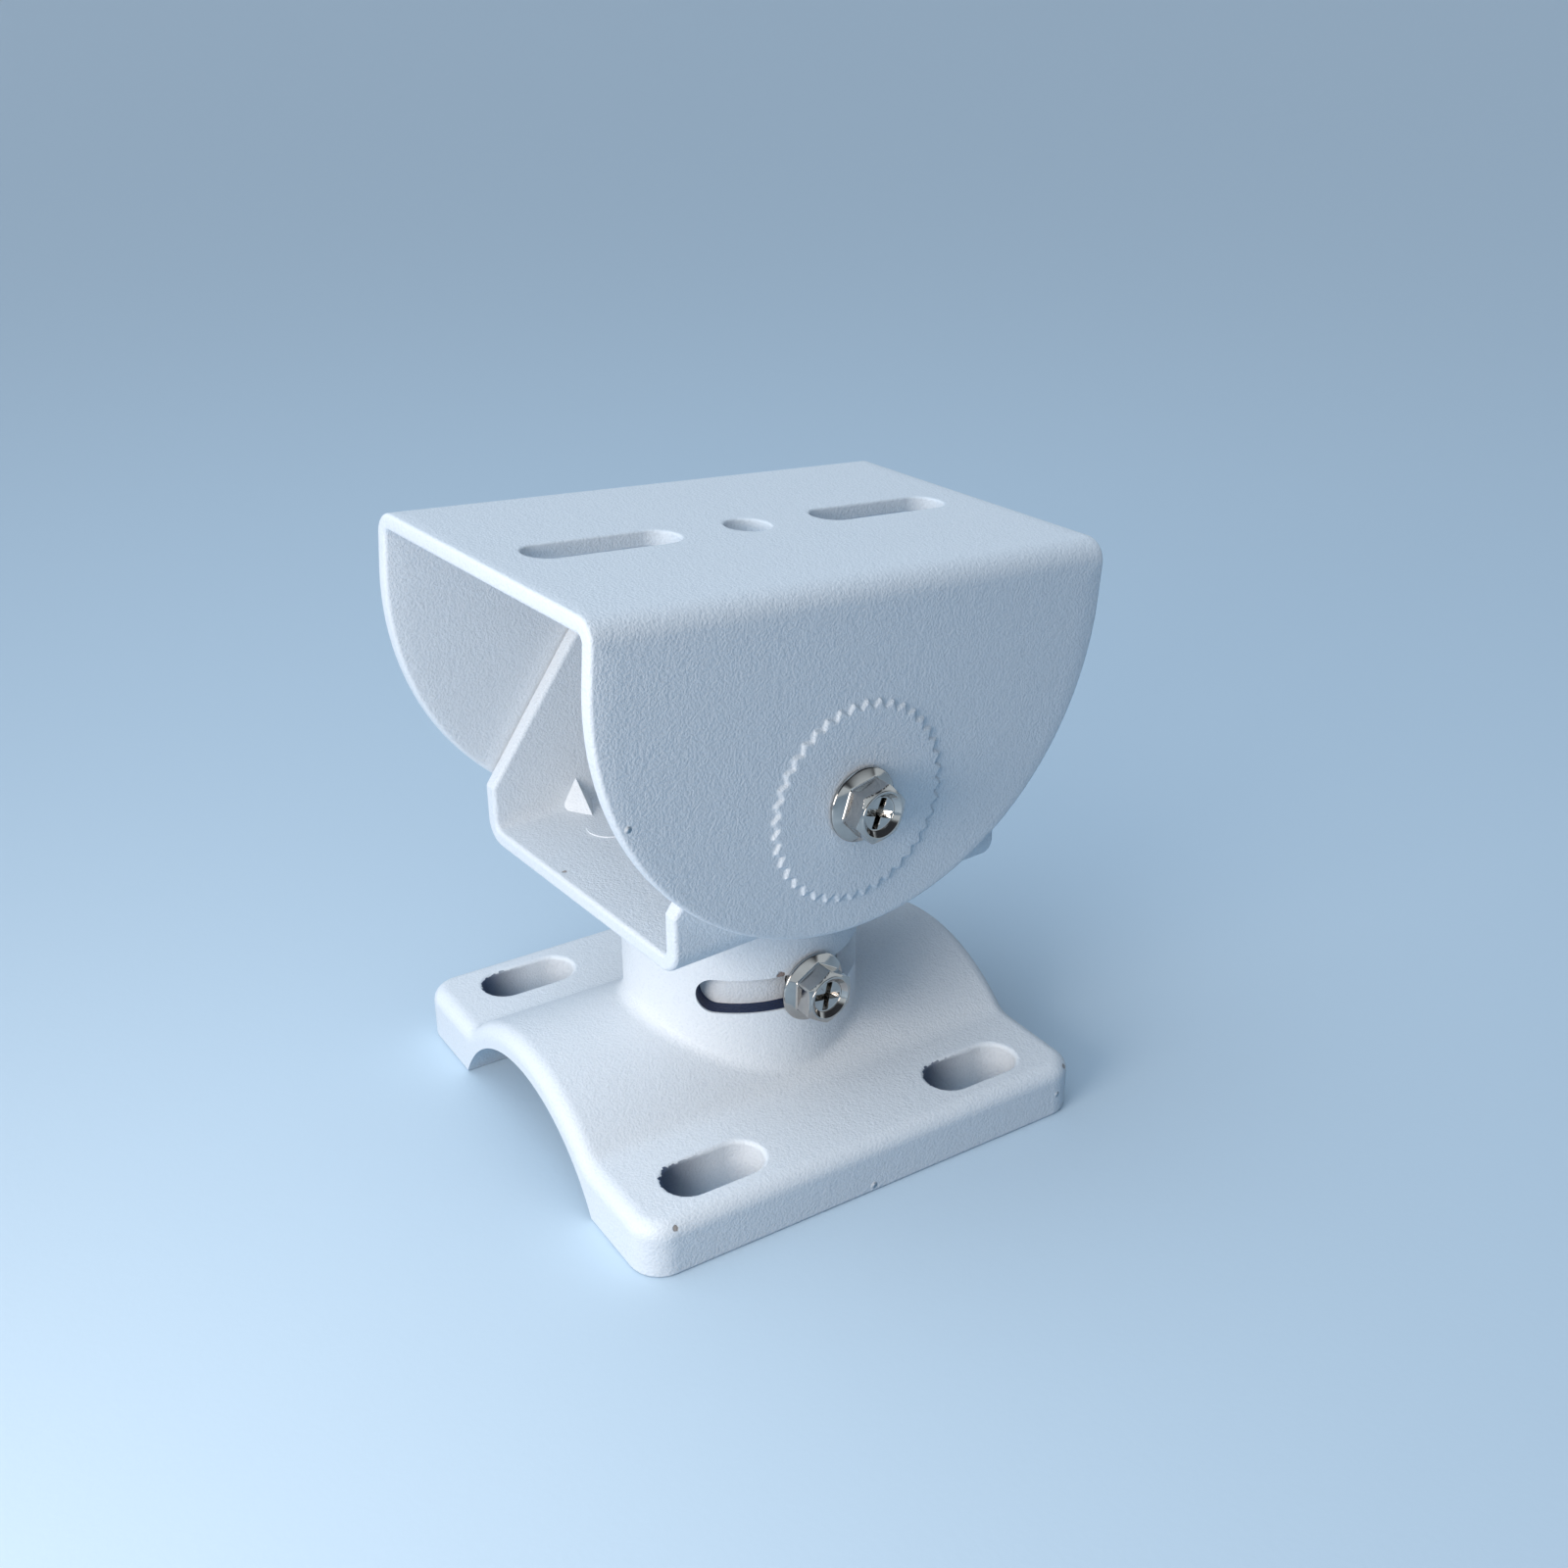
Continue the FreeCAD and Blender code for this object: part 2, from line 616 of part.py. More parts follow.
def trim_corners(body, name, across_flats, crown_diameter, height, drop):
    """The corners of a hexagon turned away in a cone, down to a round crown."""
    cone = new_sketch(body, name + "_section", "XZ_Plane")
    crown = crown_diameter / 2
    corner = across_flats / root(Size(3, "3.0"))
    outside = corner + 1
    slope = drop / (corner - crown)
    draw_outline(cone, [(crown, height), (outside, height - slope * (outside - crown)),
                        (outside, height + 1), (crown, height + 1)])
    add_feature(body, "Groove", name, cone, ReferenceAxis=(cone, ["V_Axis"]), Angle=360)


def make_screw(label):
    """A cross-recess hexagon flange screw, point down, with its seat at its own origin. The recess is
    turned from the hexagon's corners."""
    body = new_body(label)
    flange = size.screw_flange_diameter / 2
    rim = size.screw_flange_rim
    hexagon_corner = size.screw_hexagon / root(Size(3, "3.0"))
    section = new_sketch(body, "turned_section", "XZ_Plane")
    draw_outline(section, [(0, -size.screw_length), (thread_radius - size.screw_point, -size.screw_length),
                           (thread_radius, size.screw_point - size.screw_length), (thread_radius, 0),
                           (flange, 0), (flange, rim), (hexagon_corner, rim + size.screw_flange_slope),
                           (0, rim + size.screw_flange_slope)])
    add_feature(body, "Revolution", "turned_blank", section, ReferenceAxis=(section, ["V_Axis"]), Angle=360)
    head = new_sketch(body, "hexagon_outline", "XY_Plane", rim)
    draw_hexagon(head, size.screw_hexagon)
    add_feature(body, "Pad", "hexagon", head, Length=size.screw_head_height - rim)
    trim_corners(body, "crown", size.screw_hexagon, size.screw_crown_diameter, size.screw_head_height,
                 size.screw_crown_drop)
    dish = new_sketch(body, "dish_outline", "XY_Plane", size.screw_head_height)
    draw_circle(dish, 0, 0, size.screw_dish_diameter / 2)
    add_feature(body, "Pocket", "dish", dish, Length=size.screw_dish_depth)
    cross = new_sketch(body, "cross_outline", "XY_Plane", size.screw_head_height)
    span = size.recess_span / 2
    wing = size.recess_wing / 2
    corners = [(span, -wing), (span, wing), (wing, wing), (wing, span), (-wing, span), (-wing, wing),
               (-span, wing), (-span, -wing), (-wing, -wing), (-wing, -span), (wing, -span), (wing, -wing)]
    along, aside = cosine(size.recess_turn), sine(size.recess_turn)
    draw_outline(cross, [(across * along - up * aside, across * aside + up * along) for across, up in corners])
    add_feature(body, "Pocket", "cross_recess", cross, Length=size.screw_dish_depth + size.recess_depth)
    return body


def make_nut(label):
    """A hexagon flange nut with its seat at its own origin and its axis up."""
    body = new_body(label)
    flange = size.nut_flange_diameter / 2
    hexagon_corner = size.nut_hexagon / root(Size(3, "3.0"))
    section = new_sketch(body, "turned_section", "XZ_Plane")
    rim = size.nut_flange_rim
    draw_outline(section, [(threaded_hole_radius, 0), (flange, 0), (flange, rim),
                           (hexagon_corner, rim + size.screw_flange_slope),
                           (threaded_hole_radius, rim + size.screw_flange_slope)])
    add_feature(body, "Revolution", "turned_blank", section, ReferenceAxis=(section, ["V_Axis"]), Angle=360)
    hexagon = new_sketch(body, "hexagon_outline", "XY_Plane", rim)
    draw_hexagon(hexagon, size.nut_hexagon)
    draw_circle(hexagon, 0, 0, threaded_hole_radius)
    add_feature(body, "Pad", "hexagon", hexagon, Length=size.nut_height - rim)
    trim_corners(body, "crown", size.nut_hexagon, size.screw_crown_diameter, size.nut_height,
                 size.screw_crown_drop)
    return body


SIDES = (("front", -1), ("rear", 1))
pieces = [make_saddle_base(), make_yoke(), make_top_channel()]
pivot_seat = size.channel_width / 2 + size.disc_press + size.slide_clearance
lock_seat = collar_radius + size.slide_clearance
for side_name, side in SIDES:
    outward = (ORIGIN, ALONG, -side * 90)
    inward = (ORIGIN, ALONG, side * 90)
    screw = make_screw("pivot_screw_" + side_name)
    place(screw, (ORIGIN, UP, size.pan_angle), ((0, side * pivot_seat, pivot_height), UP, 0), outward,
          (ORIGIN, UP, size.pivot_screw_turn))
    pieces.append(screw)
    nut = make_nut("pivot_nut_" + side_name)
    place(nut, (ORIGIN, UP, size.pan_angle), ((0, side * ear_inside, pivot_height), UP, 0), inward)
    pieces.append(nut)
    screw = make_screw("lock_screw_" + side_name)
    place(screw, (ORIGIN, UP, size.pan_angle), ((0, side * lock_seat, size.lock_slot_middle), UP, 0),
          outward, (ORIGIN, UP, size.lock_screw_turn))
    pieces.append(screw)

document.recompute()
failed = [item.Label for item in document.Objects if {"Invalid", "Error"} & set(item.State)]
if failed:
    raise RuntimeError("failed features: " + ", ".join(failed))
for piece in pieces:
    if piece.Shape.isNull() or not piece.Shape.isValid() or len(piece.Shape.Solids) != 1:
        raise RuntimeError("broken piece: " + piece.Label)
os.makedirs("parts", exist_ok=True)
for piece in pieces:
    piece.Shape.exportStep("parts/%s.step" % piece.Label)
    print(piece.Label, round(piece.Shape.Volume, 1), piece.Shape.BoundBox)
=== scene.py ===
import json
import bmesh
import bpy
import numpy as np
from mathutils import Matrix, Vector


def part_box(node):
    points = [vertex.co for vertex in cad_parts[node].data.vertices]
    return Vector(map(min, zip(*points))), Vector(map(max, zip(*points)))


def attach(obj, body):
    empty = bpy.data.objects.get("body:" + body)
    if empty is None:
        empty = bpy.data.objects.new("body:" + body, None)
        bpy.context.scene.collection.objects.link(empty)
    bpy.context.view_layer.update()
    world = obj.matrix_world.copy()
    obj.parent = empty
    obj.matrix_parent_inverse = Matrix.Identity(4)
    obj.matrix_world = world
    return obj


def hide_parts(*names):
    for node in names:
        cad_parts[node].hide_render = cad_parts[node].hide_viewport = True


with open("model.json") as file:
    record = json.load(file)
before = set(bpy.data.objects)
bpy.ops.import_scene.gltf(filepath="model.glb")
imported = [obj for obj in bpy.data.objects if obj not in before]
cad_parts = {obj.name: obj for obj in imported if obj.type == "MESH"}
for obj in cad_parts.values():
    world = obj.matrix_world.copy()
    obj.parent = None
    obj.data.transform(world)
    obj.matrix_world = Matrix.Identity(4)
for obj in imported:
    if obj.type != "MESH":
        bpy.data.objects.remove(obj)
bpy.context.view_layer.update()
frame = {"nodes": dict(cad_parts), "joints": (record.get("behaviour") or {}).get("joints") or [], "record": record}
nodes = frame["nodes"]
mm = 0.001

# The saddle base: one aluminium casting, a square foot arched over the pole with a slotted collar on its
# crown. It is sprayed with textured white powder and baked, so every edge is soft and every face has the
# fine grain of the powder. The coat is chipped in places. Painted shade darkens the low ends of the strap
# slots, with a ragged edge over their rims, and painted navy shade lines the low end of the lock slot.


class Wire:
    """One output of a shader node. Arithmetic on it adds the Math node that the sum stands for."""

    def __init__(self, finish, socket):
        self.finish = finish
        self.socket = socket

    def math(self, operation, first, second):
        return self.finish.add("Math", {"operation": operation}, {"Value": first, "Value_001": second})

    def __add__(self, other):
        return self.math("ADD", self, other)

    __radd__ = __add__

    def __sub__(self, other):
        return self.math("SUBTRACT", self, other)

    def __rsub__(self, other):
        return self.math("SUBTRACT", other, self)

    def __mul__(self, other):
        return self.math("MULTIPLY", self, other)

    __rmul__ = __mul__

    def absolute(self):
        return self.math("ABSOLUTE", self, 0.0)

    def sign(self):
        return self.math("SIGN", self, 0.0)

    def at_least(self, other):
        return self.math("MAXIMUM", self, other)


class Finish:
    """A material, built up node by node."""

    def __init__(self, name, owner=None):
        self.owner = owner or bpy.data.materials.new(name)
        self.owner.use_nodes = True
        self.tree = self.owner.node_tree
        self.tree.nodes.clear()
        self.place = self.add("TexCoord", output="Object")

    def add(self, kind, settings=None, sockets=None, output=None):
        """A node of a kind, its settings first and then the values or wires of its sockets, which go by
        their identifiers. Gives the wire of the named output, or of the first."""
        node = self.tree.nodes.new("ShaderNode" + kind)
        for name, value in (settings or {}).items():
            setattr(node, name, value)
        for name, value in (sockets or {}).items():
            socket = next(item for item in node.inputs if item.identifier == name)
            if isinstance(value, Wire):
                self.tree.links.new(value.socket, socket)
            else:
                socket.default_value = value
        if not node.outputs:
            return None
        chosen = [item for item in node.outputs if output in (None, item.identifier)]
        return Wire(self, chosen[0])

    def noise(self, size, detail=2.0, rough=0.5):
        """Soft noise from 0 to 1 whose grains are about size across."""
        return self.add("TexNoise", None, {"Vector": self.place, "Scale": 1.0 / size, "Detail": detail,
                                           "Roughness": rough}, "Fac")

    def fade(self, value, start, end):
        """Rises smoothly from 0 at start to 1 at end."""
        return self.add("MapRange", {"interpolation_type": "SMOOTHSTEP"},
                        {"Value": value, "From Min": start, "From Max": end})

    def blend(self, share, first, second):
        """A colour between two others."""
        return self.add("Mix", {"data_type": "RGBA"},
                        {"Factor_Float": share, "A_Color": first, "B_Color": second}, "Result_Color")

    def far_from(self, point):
        """The distance to a point given in millimetres."""
        return self.add("VectorMath", {"operation": "DISTANCE"},
                        {"Vector": self.place, "Vector_001": [value * mm for value in point]}, "Value")

    def part(self, letter):
        """One coordinate of the place on the surface."""
        return self.add("SeparateXYZ", None, {"Vector": self.place}, letter)

    def length(self, first, second):
        """The length of a flat vector with these two parts."""
        flat = self.add("CombineXYZ", None, {"X": first, "Y": second})
        return self.add("VectorMath", {"operation": "LENGTH"}, {"Vector": flat}, "Value")

    def close(self, relief, depth, **surface):
        """The Principled surface of the material, whose normal follows a relief from 0 to 1 of this depth."""
        normal = self.add("Bump", None, {"Height": relief, "Distance": depth})
        sockets = {name.replace("_", " "): value for name, value in surface.items()}
        shader = self.add("BsdfPrincipled", None, dict(sockets, Normal=normal))
        self.add("OutputMaterial", None, {"Surface": shader})
        return self.owner


coat_light = (0.87, 0.885, 0.90, 1)
coat_deep = (0.81, 0.83, 0.855, 1)
chip_metal = (0.40, 0.345, 0.31, 1)
dark_brown_spot = (0.30, 0.22, 0.19, 1)
lock_slot_painted_shade = (0.0, 0.015, 0.07, 1)
strap_shade = (0.018, 0.05, 0.12, 1)
grain_size = 0.42
grain_depth = 0.06
peel_size = 1.6
casting_grain = 0.75
lock_slot_low = 22.4
lock_slot_high = 28.4
lock_slot_fade = 0.1
collar_radius = 19.2
strap_slot_along = 24.0
strap_slot_across = 31.7
strap_slot_straight = 4.25
strap_slot_radius = 4.0


class PowderCoat(Finish):
    """Textured white powder coat: crisp grains half a millimetre across on a slow orange peel. A casting
    takes the grain less than a rolled sheet."""

    def __init__(self, name, strength):
        super().__init__(name)
        grain = self.noise(grain_size * mm, 1.5, 0.6)
        peel = self.noise(peel_size * mm, 1.0)
        self.relief = self.fade(grain, 0.25, 0.75) * strength + peel * 0.9
        self.colour = self.blend(self.fade(grain, 0.25, 0.5), coat_deep, coat_light)
        self.rough = 0.58 - grain * 0.14

    def cover(self, share, colour):
        """Another colour over a share of the surface."""
        self.colour = self.blend(share, self.colour, colour)

    def chip(self, point, radius, colour=chip_metal):
        """A small dark patch with a ragged edge, sunk a little and smoother than the coat round it, such as a chip
        in the coat.
        """
        ragged = self.far_from(point) + (self.noise(radius * 0.7 * mm, 3.0) - 0.5) * (1.3 * radius * mm)
        broken = 1 - self.fade(ragged, 0.75 * radius * mm, 0.95 * radius * mm)
        self.cover(broken, colour)
        self.relief = self.relief - broken * 2.0
        self.rough = self.rough - broken * 0.2

    def nib(self, point, radius):
        """A grain of powder that stands proud of the coat."""
        dome = 1 - self.fade(self.far_from(point), 0, radius * mm)
        self.relief = self.relief + dome * (0.8 * radius / grain_depth)

    def done(self):
        return self.close(self.relief, grain_depth * mm, Base_Color=self.colour, Roughness=self.rough)


def dress(piece, material):
    """Gives every face of a piece one material and a smooth surface."""
    piece.data.materials.clear()
    piece.data.materials.append(material)
    piece.data.shade_smooth()


def dress_node(name, material):
    """Assigns a material to the slots of a CAD node."""
    for slot in nodes[name].material_slots:
        slot.material = material


base_coat = PowderCoat("white_powder_coat_on_base", casting_grain)
along, aside, upright = (base_coat.part(letter) for letter in "XYZ")
# Painted shade in the lock slot: its walls, inside the collar's skin between the slot's top and bottom, are
# coloured deep navy up to just past the screw, where the slot lies in shade.
over_low = base_coat.fade(upright, (lock_slot_low - 2 * lock_slot_fade) * mm,
                          (lock_slot_low - lock_slot_fade) * mm)
over_high = base_coat.fade(upright, (lock_slot_high + lock_slot_fade) * mm,
                           (lock_slot_high + 2 * lock_slot_fade) * mm)
from_axis = base_coat.length(along, aside)
in_wall = 1 - base_coat.fade(from_axis, (collar_radius - 0.4) * mm, (collar_radius - 0.25) * mm)
at_low_end = 1 - base_coat.fade(along, 2 * mm, 6 * mm)
base_coat.cover((over_low - over_high) * in_wall * at_low_end, lock_slot_painted_shade)
# Painted shade in the strap slots: the walls at the low-X end of each slot, turned away from the key lamp, are
# coloured dark navy, and the edge of the colour runs ragged over the rim.
from_middle = along - along.sign() * (strap_slot_along * mm)
shaded = 1 - base_coat.fade(from_middle, -8 * mm, 3 * mm)
from_slot = base_coat.length((from_middle.absolute() - strap_slot_straight * mm).at_least(0.0),
                             aside.absolute() - strap_slot_across * mm)
ragged = from_slot - (base_coat.noise(1.1 * mm, 2.0) - 0.42).at_least(0.0) * shaded * (1.6 * mm)
in_slot = 1 - base_coat.fade(ragged, (strap_slot_radius + 0.03) * mm, (strap_slot_radius + 0.15) * mm)
base_coat.cover(in_slot * shaded, strap_shade)
base_coat.chip((-34.8, -39.5, 8.0), 0.5)
base_coat.chip((37.8, -38.7, 7.8), 0.55)
# A dark brown spot with a ragged edge over the top edge of the lock slot, just left of the front lock screw's
# flange.
base_coat.chip((-3.9, -18.8, 28.6), 0.75, dark_brown_spot)
base_coat.nib((35.6, -40.0, 3.9), 0.6)
base_coat.nib((-0.6, -40.0, 1.2), 0.7)
dress_node("saddle_base", base_coat.done())

# The yoke: one aluminium casting with the same coat, a web with two ears that carry the pivot screws, and
# under the web the hollow stem that turns in the collar.
yoke_grain = 0.85
yoke_coat = PowderCoat("white_powder_coat_on_yoke", yoke_grain)
yoke_coat.chip((-28.8, 3.6, 43.85), 0.4)
dress_node("yoke", yoke_coat.done())

# The top channel: one aluminium sheet, pierced and cut to outline as a flat blank and folded down over both
# sides. A toothed disc is pressed outwards in each cheek round the pivot hole, so that the tilt locks in
# steps. It has the same coat as the castings, which rounds the pressed teeth.
channel_length = 90.0
channel_width = 60.0
sheet_thickness = 2.5
sheet_grain = 0.85
fold_radius = 3.6
plate_rise = 33.2
cheek_straight = 8.95
sheet_edge = 0.6
opening_rim = 0.4
camera_slot_place = 25.0
camera_slot_length = 25.0
camera_hole_radius = 3.5
pivot_hole_radius = 2.6
tooth_count = 40
tooth_tip = 15.5
tooth_height = 1.15
tooth_slope = 0.45
disc_press = 0.4
tooth_columns = 8
plate_half = channel_width / 2 - fold_radius
fold_run = np.pi / 2 * fold_radius
fold_height = plate_rise - fold_radius
cheek_radius = channel_length / 2
arc_height = plate_rise - cheek_straight
edge_along = cheek_radius - sheet_edge


def solid_piece(name, points, faces, material, sharp_angle):
    """A mesh object from arrays of points in metres and of faces, its doubled points merged, its faces
    turned outwards, and smooth but for edges that turn by more than sharp_angle degrees."""
    mesh = bpy.data.meshes.new(name)
    mesh.from_pydata(points.tolist(), [], faces)
    work = bmesh.new()
    work.from_mesh(mesh)
    bmesh.ops.remove_doubles(work, verts=work.verts, dist=0.002 * mm)
    bmesh.ops.recalc_face_normals(work, faces=work.faces)
    work.to_mesh(mesh)
    work.free()
    piece = bpy.data.objects.new(name, mesh)
    bpy.context.scene.collection.objects.link(piece)
    dress(piece, material)
    mesh.set_sharp_from_angle(angle=np.radians(sharp_angle))
    return piece


def grid_faces(rows, columns, round_columns=True, round_rows=False):
    """Quads between the rows of a grid, whose columns and rows may run round and close."""
    down = np.arange(rows if round_rows else rows - 1)[:, None]
    along = np.arange(columns if round_columns else columns - 1)[None, :]
    here = down * columns + along
    right = down * columns + (along + 1) % columns
    below_right = (down + 1) % rows * columns + (along + 1) % columns
    below = (down + 1) % rows * columns + along
    return np.stack([here, right, below_right, below], -1).reshape(-1, 4).tolist()


def joined(*forms):
    """Several forms as one set of points and faces."""
    points = np.vstack([form[0] for form in forms])
    starts = np.cumsum([0] + [len(form[0]) for form in forms[:-1]])
    faces = [[index + int(start) for index in face] for form, start in zip(forms, starts) for face in form[1]]
    return points, faces


def folded(blank, depth):
    """Places of the flat blank once it is folded. A point is given by its distance along and across the
    blank. The plate is flat out to plate_half, the strip beyond it turns through a quarter circle over
    fold_run, and the cheek hangs straight down from there. Depth goes in from the outer face."""
    along, across = blank[..., 0], blank[..., 1]
    beyond = np.abs(across) - plate_half
    turn = np.clip(beyond / fold_run, 0, 1) * np.pi / 2
    hang = np.maximum(beyond - fold_run, 0)
    reach = np.minimum(np.abs(across), plate_half) + (fold_radius - depth) * np.sin(turn)
    height = fold_height + (fold_radius - depth) * np.cos(turn) - hang
    return np.stack([along, np.sign(across) * reach, height], -1)


def on_blank(side, along, height):
    """Where a point of a cheek, at a height over the pivot, lies on the flat blank."""
    return np.stack([along, side * (plate_half + fold_run + fold_height - height)], -1)


def pressed(blank):
    """How far the toothed disc is pressed outwards: all the way inside a zigzag of straight flanks
    between the foot and the tip of the teeth, and down to nothing over a short soft slope across it."""
    along = blank[..., 0]
    height = fold_height + fold_run + plate_half - np.abs(blank[..., 1])
    turns = np.arctan2(height, along) * tooth_count / (2 * np.pi)
    zigzag = 1 - 2 * np.abs((turns + 0.5) % 1 - 0.5)
    rim = tooth_tip - tooth_height * (1 - zigzag)
    share = np.clip((rim - np.hypot(along, height)) / tooth_slope + 0.5, 0, 1)
    return disc_press * share * share * (3 - 2 * share)


def skins(blank, round_columns):
    """The outer and the inner face of the sheet over a grid of blank points."""
    rows, columns = blank.shape[:2]
    lift = pressed(blank)
    faces = grid_faces(rows, columns, round_columns)
    return joined((folded(blank, -lift).reshape(-1, 3), faces),
                  (folded(blank, sheet_thickness - lift).reshape(-1, 3), faces))


def rim(line, outward, radius, round_columns):
    """The edge of the sheet along a line of the blank: a quarter round, the cut face, and a quarter round
    to the inner face. outward points out of the metal."""
    turn = np.linspace(0, np.pi / 2, 5)
    step = radius * (np.sin(turn) - 1)
    drop = radius * (1 - np.cos(turn))
    step = np.concatenate([step, step[::-1]])[:, None]
    drop = np.concatenate([drop, sheet_thickness - drop[::-1]])[:, None]
    blank = line + step[..., None] * outward
    points = folded(blank, drop - pressed(blank))
    return points.reshape(-1, 3), grid_faces(len(step), len(line), round_columns)


def cheek_border(count):
    """Points evenly along the free edge of a cheek, from the fold at the low end round to the fold at the
    high end, and the directions square to it: straight sides and a half circle between them."""
    straight = fold_height - arc_height
    run = np.linspace(0, 2 * straight + np.pi * cheek_radius, count)
    angle = np.pi + np.clip((run - straight) / cheek_radius, 0, np.pi)
    outward = np.stack([np.cos(angle), np.sin(angle)], -1)
    rise = np.maximum(straight - run, 0) + np.maximum(run - straight - np.pi * cheek_radius, 0)
    return outward * cheek_radius + np.stack([rise * 0, arc_height + rise], -1), outward


def cheek(side):
    """A cheek as rings round the pivot: close together over the teeth, then spreading out to the border,
    of which the first stretch is the fold line."""
    columns = tooth_columns * tooth_count
    fold_columns = len(fold_line) - 1
    angles = np.pi / 2 + (np.arange(columns) - fold_columns / 2) * 2 * np.pi / columns
    ray = np.stack([np.cos(angles), np.sin(angles)], -1)
    radii = np.concatenate([[pivot_hole_radius + opening_rim], np.linspace(4.5, 13, 5),
                            np.arange(tooth_tip - tooth_height - 0.6, tooth_tip + 0.6, 0.15),
                            [tooth_tip + 1.0, tooth_tip + 2.0]])
    edge, outward = cheek_border(columns - fold_columns + 1)
    fold = np.stack([-fold_line, np.full(len(fold_line), fold_height)], -1)
    border = np.vstack([fold[:-1], (edge - sheet_edge * outward)[:-1]])
    inner = radii[:, None, None] * ray
    spread = np.linspace(0, 1, 9)[1:, None, None]
    rings = np.vstack([inner, inner[-1] + spread * (border - inner[-1])])
    hole = pivot_hole_radius * ray
    return joined(skins(on_blank(side, rings[..., 0], rings[..., 1]), True),
                  rim(on_blank(side, edge[:, 0], edge[:, 1]), outward * (1, -side), sheet_edge, False),
                  rim(on_blank(side, hole[:, 0], hole[:, 1]), ray * (-1, side), opening_rim, True))


def fold_strip(side):
    """The bent strip between the plate and a cheek: the fold line, stepped over the run of the fold."""
    across = side * (plate_half + fold_run * np.linspace(0, 1, 9))
    return skins(np.stack(np.meshgrid(fold_line, across), -1), False)


def end_edge(side):
    """The rounded edge of the plate and of both folds at one end of the channel."""
    bend = plate_half + fold_run * np.linspace(0, 1, 9)
    across = np.concatenate([-bend[::-1], plate_line[1:-1], bend])
    line = np.stack([np.full(len(across), side * cheek_radius), across], -1)
    return rim(line, np.array([side, 0.0]), sheet_edge, False)


def opening_cell(first, last, middle, half_straight, radius):
    """A stretch of the plate round an opening, a round hole or a slot with round ends: rows that spread
    from the opening, each point at an equal share of the way round, out to the border of the cell."""
    lines = fold_line[first:last + 1]
    half = len(plate_line) // 2
    high_side = np.stack([np.full(len(plate_line), lines[-1]), plate_line], -1)
    low_side = np.stack([np.full(len(plate_line), lines[0]), plate_line[::-1]], -1)
    top = np.stack([lines[::-1], np.full(len(lines), plate_half)], -1)
    border = np.vstack([high_side[half:-1], top[:-1], low_side[:-1], -top[:-1] + (lines[0] + lines[-1], 0),
                        high_side[:half]])
    quarter = np.pi / 2 * radius
    run = np.arange(len(border)) / len(border) * (4 * quarter + 4 * half_straight)
    half_run = run % (2 * quarter + 2 * half_straight)
    angle = (np.minimum(half_run, quarter) + np.maximum(half_run - quarter - 2 * half_straight, 0)) / radius
    shift = half_straight - np.clip(half_run - quarter, 0, 2 * half_straight)
    way = np.where(run < 2 * quarter + 2 * half_straight, 1, -1)[:, None]
    outward = -way * np.stack([np.cos(angle), np.sin(angle)], -1)
    line = -radius * outward + way * np.stack([shift, shift * 0], -1) + (middle, 0)
    start = line - opening_rim * outward
    spread = np.linspace(0, 1, 8)[:, None, None] ** 1.5
    return joined(skins(start + spread * (border - start), True), rim(line, outward, opening_rim, True))


fold_steps = 100
low_cell_end = 41
high_cell_start = 59
fold_line = np.linspace(-edge_along, edge_along, fold_steps + 1)
plate_line = np.linspace(-plate_half, plate_half, 49)
slot_straight = camera_slot_length / 2 - camera_hole_radius
channel_form = joined(
    cheek(-1), cheek(1), fold_strip(-1), fold_strip(1), end_edge(-1), end_edge(1),
    opening_cell(0, low_cell_end, -camera_slot_place, slot_straight, camera_hole_radius),
    opening_cell(low_cell_end, high_cell_start, 0, 0, camera_hole_radius),
    opening_cell(high_cell_start, fold_steps, camera_slot_place, slot_straight, camera_hole_radius))

tilt_joint = next(joint for joint in frame["joints"] if joint["name"] == "tilt")
plate_mount = next(mount for mount in frame["record"]["mounts"] if mount["name"] == "plate_face")
across = Vector(tilt_joint["axis"]).normalized()
plate_normal = Vector(plate_mount["axis"]).normalized()
head_axes = np.array([across.cross(plate_normal), across, plate_normal])
head_place = np.array(tilt_joint["pos_m"])

channel_coat = PowderCoat("white_powder_coat_on_channel", sheet_grain)
channel_coat.nib((head_place + np.array((-38.9, -30.0, 4.35)) * mm @ head_axes) / mm, 0.65)
channel = solid_piece("top_channel_folded", channel_form[0] * mm @ head_axes + head_place, channel_form[1],
                      channel_coat.done(), sharp_angle=50)
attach(channel, "channel")
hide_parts("top_channel")

# The pivot and lock screws: M5 hexagon flange screws of nickel-plated steel, cold headed with a dished
# crown and a cross recess, with rolled threads.
nickel_dull = (0.39, 0.37, 0.35, 1)
nickel_bright = (0.53, 0.51, 0.485, 1)
pit_depth = 0.002


def plated_steel(name):
    """Bright nickel plating, slightly clouded, with faint pits."""
    finish = Finish(name)
    cloud = finish.noise(1.8 * mm, 3.0)
    pits = finish.noise(0.16 * mm, 2.0)
    colour = finish.blend(cloud, nickel_dull, nickel_bright)
    rough = 0.05 + cloud * 0.08 + pits * 0.04
    return finish.close(pits, pit_depth * mm, Base_Color=colour, Roughness=rough, Metallic=1.0)


nickel = plated_steel("nickel_plating")


def cap_faces(columns, ring_start, centre, up):
    """Triangles from a ring to a centre point."""
    along = np.arange(columns)
    here = ring_start + along
    right = ring_start + (along + 1) % columns
    middle = np.full(columns, centre)
    pair = (here, right) if up else (right, here)
    return np.stack([pair[0], pair[1], middle], -1).tolist()


def turned(radii, heights, angles):
    """Points of a turned form: one row for each height, with a radius for each angle."""
    heights = np.broadcast_to(heights[:, None], radii.shape)
    return np.stack([radii * np.cos(angles), radii * np.sin(angles), heights], -1).reshape(-1, 3)


